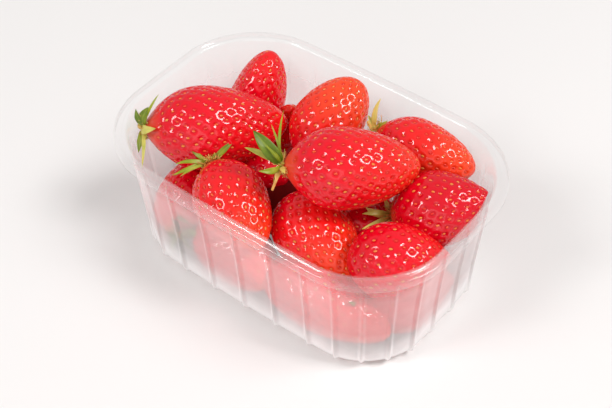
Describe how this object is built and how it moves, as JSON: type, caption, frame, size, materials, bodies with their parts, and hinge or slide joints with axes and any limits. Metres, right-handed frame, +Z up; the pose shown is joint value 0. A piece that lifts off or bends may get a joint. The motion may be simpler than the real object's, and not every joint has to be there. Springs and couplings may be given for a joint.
{
  "type": "punnet of strawberries",
  "caption": "Clear thin plastic punnet with a rolled rim and ribbed rounded walls, heaped with glossy red strawberries with green leafy crowns.",
  "frame": {"origin": "centre of the bounding box on the surface the punnet stands on", "axes": "+Z up, +X along the punnet's long side, +Y along its short side towards the rear"},
  "size_m": [0.143, 0.097, 0.0722],
  "materials": {
    "clear_plastic": "gloss, clear with a faint milky haze",
    "strawberry": "glossy fruit skin with seeds in dimples"
  },
  "bodies": {
    "root": {"punnet_tray": "clear_plastic", "strawberry_heap": "strawberry"}
  },
  "joints": []
}
